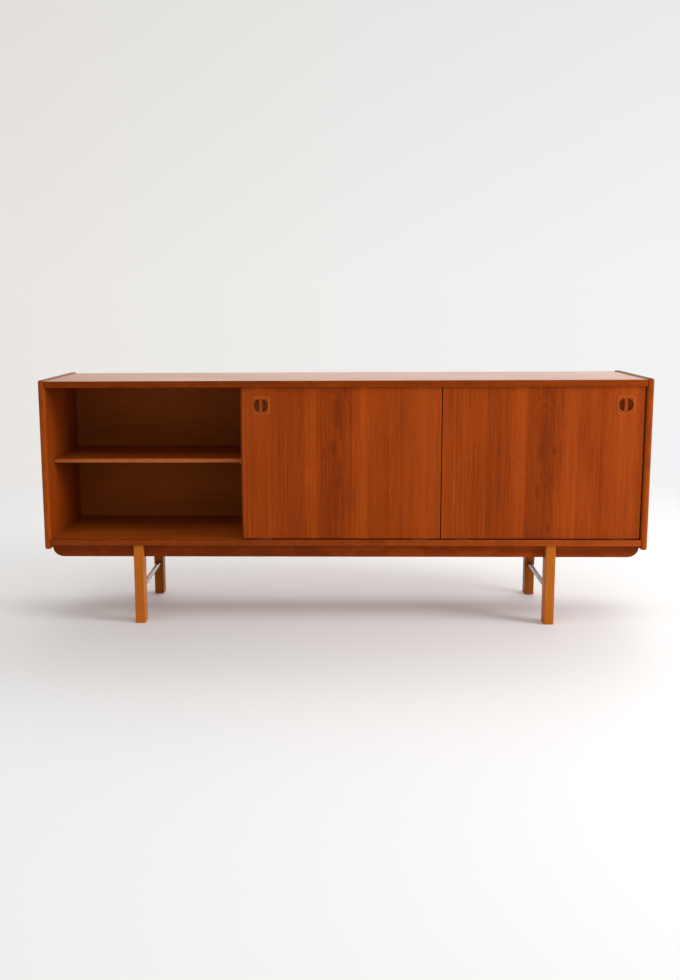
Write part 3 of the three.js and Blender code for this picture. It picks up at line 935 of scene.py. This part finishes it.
def pull_shade_and_highlight(material, middle, half, rim, floor):
    """Painted light on a pull: painted shade, together with finger grime, darkens it with depth below
    its rim in the finger pockets, and a painted highlight, together with wear from fingers, turns it
    pale at its edges.
    """
    tree = material.node_tree
    shader = tree.nodes["Principled BSDF"]
    clean = shader.inputs["Base Color"].links[0].from_socket
    place = object_place(tree)
    blotch = noise(tree, stretched(tree, place, (170, 170, 90), 4.0), 3.0)
    depth = jittered(tree, axes_of(tree, place)[Y], blotch, 0.8 * MM)
    # Painted shade: the colour falls towards this near black with depth below the rim, in the finger
    # pockets, together with finger grime.
    stained = tinted(tree, spread(tree, depth, rim, floor, 0.0, 0.58), clean, (0.016, 0.004, 0.001))
    from_middle = vector_maths(tree, "ABSOLUTE", vector_maths(tree, "SUBTRACT", place, middle))
    off_x, _, off_z = axes_of(tree, from_middle)
    edge = jittered(tree, maths(tree, "MAXIMUM", off_x, off_z), blotch, 0.6 * MM)
    # Painted highlight: the block turns pale towards its edges, together with wear from fingers.
    rim_highlight_and_wear = spread(tree, edge, half - 2.6 * MM, half - 1.0 * MM, 0.0, 0.60)
    shaded_and_highlit = tinted(tree, rim_highlight_and_wear, stained, (0.62, 0.155, 0.035))
    tree.links.new(shaded_and_highlit, shader.inputs["Base Color"])


class SIDEBOARD_OT_pulls(Operator):
    """Carve the two square pulls, each with two half-moon finger pockets"""
    bl_idname = "sideboard.pulls"
    bl_label = "Pulls"

    def execute(self, context):
        size = sizes()
        rim_depth = 1.9 * MM
        for door, seed in zip(DOORS, (61.0, 67.0)):
            node = f"{door}_pull"
            low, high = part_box(node)
            middle = (low + high) / 2
            half = (high.x - low.x) / 2
            bm = bmesh.new()
            bmesh.ops.create_grid(bm, x_segments=size.pull_cells, y_segments=size.pull_cells,
                                  size=half)
            rim = [edge for edge in bm.edges if edge.is_boundary]
            carved = list(bm.verts)
            walls = bmesh.ops.extrude_edge_only(bm, edges=rim)["geom"]
            wall_foot = [item for item in walls if isinstance(item, bmesh.types.BMVert)]
            straight = half - size.pull_corner
            for vert in carved + wall_foot:
                u, w = vert.co.x, vert.co.y
                inset = half - max(abs(u), abs(w))
                past_u, past_w = abs(u) - straight, abs(w) - straight
                if past_u > 0 and past_w > 0:
                    stretch = max(past_u, past_w) / math.hypot(past_u, past_w)
                    u = math.copysign(straight + past_u * stretch, u)
                    w = math.copysign(straight + past_w * stretch, w)
                sunk = pocket(u, w, size.pocket_depth)
                if inset < size.pull_rim:
                    lean = 1 - inset / size.pull_rim
                    sunk += rim_depth * (1 - math.sqrt(1 - lean ** 2))
                vert.co = (middle.x + u, low.y + sunk, middle.z + w)
            for vert in wall_foot:
                vert.co.y = high.y
            for face in bm.faces:
                face.smooth = True
            foot = [edge for edge in bm.edges if edge.is_boundary]
            for face in bmesh.ops.contextual_create(bm, geom=foot)["faces"]:
                face.smooth = False
            bmesh.ops.recalc_face_normals(bm, faces=bm.faces)
            block = teak(f"teak_{node}", "upright_front", solid=True, shade=1.02, centre=middle,
                         seed=seed, depth=0.06, slant=0.05, roughness=0.40, specular=0.35)
            # Painted shade in the finger pockets and a painted highlight round the rim.
            pull_shade_and_highlight(block, middle, half, low.y + 2.2 * MM, low.y + 0.75 * size.pocket_depth)
            piece(f"{door}_finger_pull", bm, block, door, [node])
        return {"FINISHED"}


class SIDEBOARD_OT_glides(Operator):
    """Build the nylon glides under the doors"""
    bl_idname = "sideboard.glides"
    bl_label = "Glides"

    def execute(self, context):
        finish = moulded_nylon("glide_nylon")
        for door in DOORS:
            door_base = spans(f"{door}_panel")[Z][0]
            for end in SIDES:
                node = f"{door}_{end}_glide"
                low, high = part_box(node)
                bm = slab(low, (high.x, high.y, door_base))
                soften(bm, 1.6 * MM, 3, along(Z))
                soften(bm, 0.4 * MM, 2, at_base(low.z))
                piece(f"{door}_{end}_runner", bm, finish, door, [node])
        return {"FINISHED"}


# ------------------------------------------------------------------ underframe

class SIDEBOARD_OT_aprons(Operator):
    """Build the front and rear rails with their rounded lower corners"""
    bl_idname = "sideboard.aprons"
    bl_label = "Aprons"

    def execute(self, context):
        stretch = 1.2  # the lower corners are this much longer than they are high
        for end, seed in zip(ENDS, (71.0, 73.0)):
            node = f"{end}_apron"
            (x_low, x_high), (front, back), (low, high) = spans(node)
            outline = [(x_low / stretch, high), (x_low / stretch, low), (x_high / stretch, low),
                       (x_high / stretch, high)]
            bm = prism(outline, Y, front, back)
            soften(bm, sizes().apron_corner, 12, lambda a, b, base=low: (
                along(Y)(a, b) and abs(a.z - base) < HAIR))
            bmesh.ops.scale(bm, vec=(stretch, 1, 1), verts=bm.verts)
            soften(bm, 0.8 * MM, 2, across(Y))
            # Painted shade darkens the rails towards their ends, most at the left.
            veneer = teak(f"teak_{node}", "long_front", shade=0.92, centre=(0, front, low),
                          seed=seed, depth=0.12, slant=0.0, rings=160, roughness=0.5, arches=0.12,
                          stripes=RAIL_PAINTED_SHADE, stripe_run=True)
            piece(f"{end}_rail", bm, veneer, "carcass", [node])
        return {"FINISHED"}


class SIDEBOARD_OT_legs(Operator):
    """Build the four square beech legs, lapped at the top for the rails"""
    bl_idname = "sideboard.legs"
    bl_label = "Legs"

    def execute(self, context):
        size = sizes()
        gap = 0.1 * MM
        seed = 81.0
        # Painted shade: the rear legs get the beech at 0.68 of its tone, a darker copy standing in for
        # the shade they stand in under the case.
        for end, outward, shade in zip(ENDS, (-1, 1), (1.0, 0.68)):
            rail_low, rail_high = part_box(f"{end}_apron")
            shoulder = rail_low.z - gap
            for side in SIDES:
                node = f"{end}_{side}_leg"
                low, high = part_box(node)
                outer, inner = (low.y, high.y) if outward < 0 else (high.y, low.y)
                lap = (rail_low.y if outward < 0 else rail_high.y) + outward * gap
                outline = [(outer, low.z), (inner, low.z), (inner, shoulder), (lap, shoulder),
                           (lap, high.z), (outer, high.z)]
                bm = prism(outline, X, low.x, high.x)
                soften(bm, size.leg_edge, 4, lambda a, b, lap=lap: (
                    along(Z)(a, b) and abs(a.y - lap) > HAIR))
                soften(bm, size.foot_edge, 3, at_base(low.z))
                timber = beech(f"beech_{node}", "upright_front", shade, centre=(low + high) / 2,
                               heart=0.05, depth=0.1, slant=0.03, rings=260, seed=seed,
                               roughness=0.46, specular=0.25, clouds=0.30,
                               sheen_tint=(1.0, 0.5, 0.15))
                piece(f"{node}_post", bm, timber, "carcass", [node])
                seed += 3
        return {"FINISHED"}


class SIDEBOARD_OT_cross_rods(Operator):
    """Build the two round steel rods that join the front and rear legs"""
    bl_idname = "sideboard.cross_rods"
    bl_label = "Cross rods"

    def execute(self, context):
        finish = satin_steel("rod_steel", Y)
        seated = 1 * MM
        for side in SIDES:
            node = f"{side}_cross_rod"
            low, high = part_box(node)
            centre = (low + high) / 2
            radius = (high.z - low.z) / 2
            start = spans(f"front_{side}_leg")[Y][1] - centre.y - seated
            stop = spans(f"rear_{side}_leg")[Y][0] - centre.y + seated
            profile = [(0, start), (radius, start), (radius, stop), (0, stop)]
            piece(f"{side}_rod", turned(profile, Y, centre, 40), finish, "carcass", [node])
        return {"FINISHED"}


def slotted_head(node, outward, across_slot):
    """A screw's round head: a disc up to the slot's floor, with the rest raised on both sides."""
    head_depth, slot_depth, slot_half = 3 * MM, 1.3 * MM, 0.6 * MM
    (x_low, x_high), y_ends, (low, high) = spans(node)
    radius = (x_high - x_low) / 2
    top = max(y_ends) if outward > 0 else min(y_ends)
    slot_floor = top - outward * slot_depth
    middle = Vector(((x_low + x_high) / 2, slot_floor, (low + high) / 2))
    bm = bmesh.new()
    bmesh.ops.create_circle(bm, cap_ends=True, radius=radius, segments=28)
    upright = Matrix.Rotation(math.radians(90), 4, "X")
    bmesh.ops.transform(bm, matrix=Matrix.Translation(middle) @ upright, verts=bm.verts)
    pulled_out(bm, list(bm.faces), Y, top - outward * head_depth)
    for offset in (-slot_half, slot_half):
        bmesh.ops.bisect_plane(bm, geom=bm.verts[:] + bm.edges[:] + bm.faces[:],
                               plane_co=middle + across_slot * offset, plane_no=across_slot)
    beside_slot = [
        face for face in bm.faces
        if all(abs(vert.co.y - slot_floor) < HAIR for vert in face.verts)
        and abs((face.calc_center_median() - middle).dot(across_slot)) > slot_half
    ]
    pulled_out(bm, beside_slot, Y, top)
    bmesh.ops.recalc_face_normals(bm, faces=bm.faces)

    def crown(*ends):
        return all(abs(end.y - top) < HAIR and (end - middle).xz.length > radius * 0.97
                   for end in ends)

    soften(bm, 0.9 * MM, 3, crown)
    return bm


class SIDEBOARD_OT_screws(Operator):
    """Build the slotted screws that hold the legs to the rails"""
    bl_idname = "sideboard.screws"
    bl_label = "Leg screws"

    def execute(self, context):
        finish = satin_steel("screw_steel", Z)
        for end, outward in zip(ENDS, (1, -1)):
            for side in SIDES:
                for place, slot_turn in (("upper", 0.35), ("lower", -0.6)):
                    node = f"{end}_{side}_leg_{place}_screw"
                    bm = slotted_head(node, outward, Vector((1, 0, slot_turn)).normalized())
                    piece(f"{end}_{side}_{place}_leg_screw", bm, finish, "carcass", [node])
        return {"FINISHED"}


# ------------------------------------------------------------------ stage

CAMERA_DISTANCE, CAMERA_RIGHT, CAMERA_HEIGHT = 3.2424, -0.0022, 0.9525  # from the front, metres
CAMERA_PITCH, CAMERA_YAW, CAMERA_ROLL = 9.465, 1.915, -0.321            # degrees
CAMERA_SHIFT = 0.0347
GLOW_SIDE = (0.52, 0.82, 0.22)   # the way the bright side of the surround lies
FLOOR_HALF = 4.2
FLOOR_END = 2.35                 # how far the floor reaches behind the sideboard


def soft_light(name, place, target, width, height, power, tint):
    """A rectangular light at a place, aimed at a target."""
    data = bpy.data.lights.new(name, "AREA")
    data.shape = "RECTANGLE"
    data.size, data.size_y = width, height
    data.energy = power
    data.color = tint
    lamp = bpy.data.objects.new(name, data)
    lamp.location = place
    lamp.rotation_euler = (Vector(target) - Vector(place)).to_track_quat("-Z", "Y").to_euler()
    bpy.context.scene.collection.objects.link(lamp)


class SIDEBOARD_OT_stage(Operator):
    """Set up the pale floor, the soft light and the camera"""
    bl_idname = "sideboard.stage"
    bl_label = "Stage"

    def execute(self, context):
        scene = context.scene
        stage = scene.sideboard_stage
        tones = colours()
        scene.view_settings.view_transform = "Standard"

        bm = bmesh.new()
        bmesh.ops.create_grid(bm, x_segments=1, y_segments=1, size=FLOOR_HALF)
        bmesh.ops.translate(bm, vec=(0, FLOOR_END - FLOOR_HALF, 0), verts=bm.verts)
        mesh = bpy.data.meshes.new("studio_floor")
        bm.to_mesh(mesh)
        bm.free()
        paint, _, shader = new_material("floor_paint")
        shader.inputs["Base Color"].default_value = (*tones.floor, 1)
        shader.inputs["Roughness"].default_value = 0.6
        shader.inputs["Specular IOR Level"].default_value = 0.2
        mesh.materials.append(paint)
        floor = bpy.data.objects.new("studio_floor", mesh)
        scene.collection.objects.link(floor)

        world = bpy.data.worlds.new("studio")
        scene.world = world
        world.use_nodes = True
        tree = world.node_tree
        tree.nodes.clear()
        direction = add(tree, "ShaderNodeTexCoord").outputs["Generated"]
        to_right, _, upward = axes_of(tree, direction)
        share = spread(tree, to_right, -0.4, 0.4)
        room = ramp(tree, share, [(0.0, tones.room_left), (0.5, tones.room_middle),
                                  (1.0, tones.room_right)])
        seen = add(tree, "ShaderNodeBackground", {
            "Color": room, "Strength": spread(tree, upward, 0.02, 0.26, 1.01, 0.93),
        })
        facing = vector_maths(tree, "DOT_PRODUCT", direction, GLOW_SIDE, "Value")
        brighter = maths(tree, "ADD", spread(tree, facing, 0.4, 1.0, 0.0, stage.glow),
                         spread(tree, to_right, -1.0, 1.0, 0.68, 0.80))
        glow = add(tree, "ShaderNodeBackground", {"Color": room, "Strength": brighter})
        camera_ray = add(tree, "ShaderNodeLightPath").outputs["Is Camera Ray"]
        mixed = add(tree, "ShaderNodeMixShader", {0: camera_ray, 1: glow.outputs[0],
                                                  2: seen.outputs[0]})
        add(tree, "ShaderNodeOutputWorld", {0: mixed.outputs[0]})

        middle = (0, 0, 0.45)
        soft_light("window_light", (3.5, -1.4, 1.75), middle, 1.6, 1.8, stage.window_power,
                   (0.99, 0.99, 1.0))
        soft_light("ceiling_light", (-0.4, -1.6, 3.2), middle, 3.2, 2.0, stage.ceiling_power,
                   (1, 1, 1))
        soft_light("rear_light", (0.5, 2.1, 3.3), (0, 0.7, 0), 3.4, 1.6, stage.rear_power,
                   (0.98, 0.99, 1.0))

        lens = bpy.data.cameras.new("camera")
        lens.lens = stage.focal_length
        lens.sensor_fit = "AUTO"
        lens.sensor_width = 36
        lens.shift_x = CAMERA_SHIFT
        camera = bpy.data.objects.new("camera", lens)
        scene.collection.objects.link(camera)
        camera.location = (CAMERA_RIGHT, CAD_BOX[0].y - CAMERA_DISTANCE, CAMERA_HEIGHT)
        turn = Matrix.Rotation(math.radians(CAMERA_YAW), 4, "Z")
        turn @= Matrix.Rotation(math.radians(90 - CAMERA_PITCH), 4, "X")
        turn @= Matrix.Rotation(math.radians(CAMERA_ROLL), 4, "Z")
        camera.rotation_euler = turn.to_euler()
        scene.camera = camera
        return {"FINISHED"}


# ------------------------------------------------------------------ panel and registration

PIECE_OPERATORS = (
    SIDEBOARD_OT_side_panels, SIDEBOARD_OT_top_board, SIDEBOARD_OT_bottom_board,
    SIDEBOARD_OT_back_panel, SIDEBOARD_OT_dividers, SIDEBOARD_OT_shelves, SIDEBOARD_OT_shelf_pins,
    SIDEBOARD_OT_doors, SIDEBOARD_OT_pulls, SIDEBOARD_OT_glides, SIDEBOARD_OT_aprons,
    SIDEBOARD_OT_legs, SIDEBOARD_OT_cross_rods, SIDEBOARD_OT_screws, SIDEBOARD_OT_stage,
)


class SIDEBOARD_PT_builder(Panel):
    """Sizes, colours and the buttons that build each piece"""
    bl_idname = "SIDEBOARD_PT_builder"
    bl_label = "Teak sideboard"
    bl_space_type = "VIEW_3D"
    bl_region_type = "UI"
    bl_category = "Sideboard"

    def draw(self, context):
        scene = context.scene
        for settings in (scene.sideboard_sizes, scene.sideboard_colours, scene.sideboard_stage):
            box = self.layout.box()
            for name in type(settings).__annotations__:
                box.prop(settings, name)
        for operator in PIECE_OPERATORS:
            self.layout.operator(operator.bl_idname)


CLASSES = (SideboardSizes, SideboardColours, SideboardStage, *PIECE_OPERATORS, SIDEBOARD_PT_builder)


def register():
    for cls in CLASSES:
        bpy.utils.register_class(cls)
    bpy.types.Scene.sideboard_sizes = PointerProperty(type=SideboardSizes)
    bpy.types.Scene.sideboard_colours = PointerProperty(type=SideboardColours)
    bpy.types.Scene.sideboard_stage = PointerProperty(type=SideboardStage)


def unregister():
    del bpy.types.Scene.sideboard_stage
    del bpy.types.Scene.sideboard_colours
    del bpy.types.Scene.sideboard_sizes
    for cls in reversed(CLASSES):
        bpy.utils.unregister_class(cls)


def main():
    register()
    for operator in PIECE_OPERATORS:
        group, name = operator.bl_idname.split(".")
        getattr(getattr(bpy.ops, group), name)()


if __name__ == "__main__":
    main()
